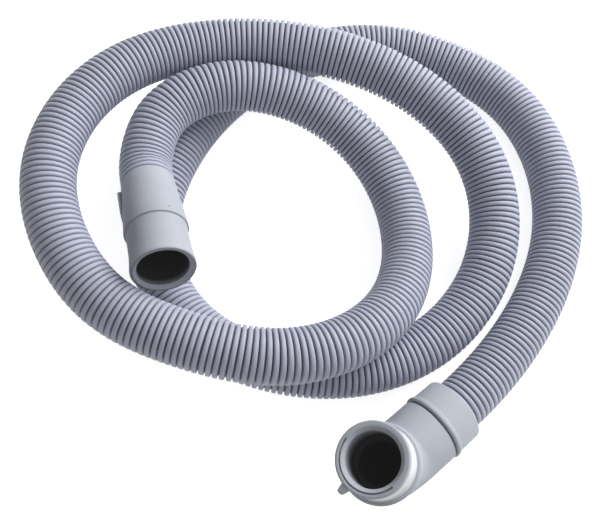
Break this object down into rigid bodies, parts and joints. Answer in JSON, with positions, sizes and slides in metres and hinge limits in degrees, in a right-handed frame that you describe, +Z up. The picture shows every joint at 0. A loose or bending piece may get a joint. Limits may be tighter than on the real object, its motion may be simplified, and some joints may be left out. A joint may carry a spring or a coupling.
{
  "type": "outlet hose",
  "caption": "Ribbed plastic drain hose for a washing machine, lying in loops, with a straight cuff on one end and an elbow fitting on the other.",
  "frame": {"origin": "on the floor under the middle of the bounding box of the hose as it lies", "axes": "+Z is up from the floor that the hose lies on, +X is the picture's right and the longest extent, and +Y leads away from the camera"},
  "size_m": [0.2732, 0.2626, 0.0695],
  "materials": {
    "hose_plastic": "light lavender grey polypropylene, satin",
    "fitting_plastic": "light grey soft plastic, satin"
  },
  "bodies": {
    "root": {"hose": "hose_plastic", "straight_cuff": "fitting_plastic", "elbow_fitting": "fitting_plastic"}
  },
  "joints": []
}
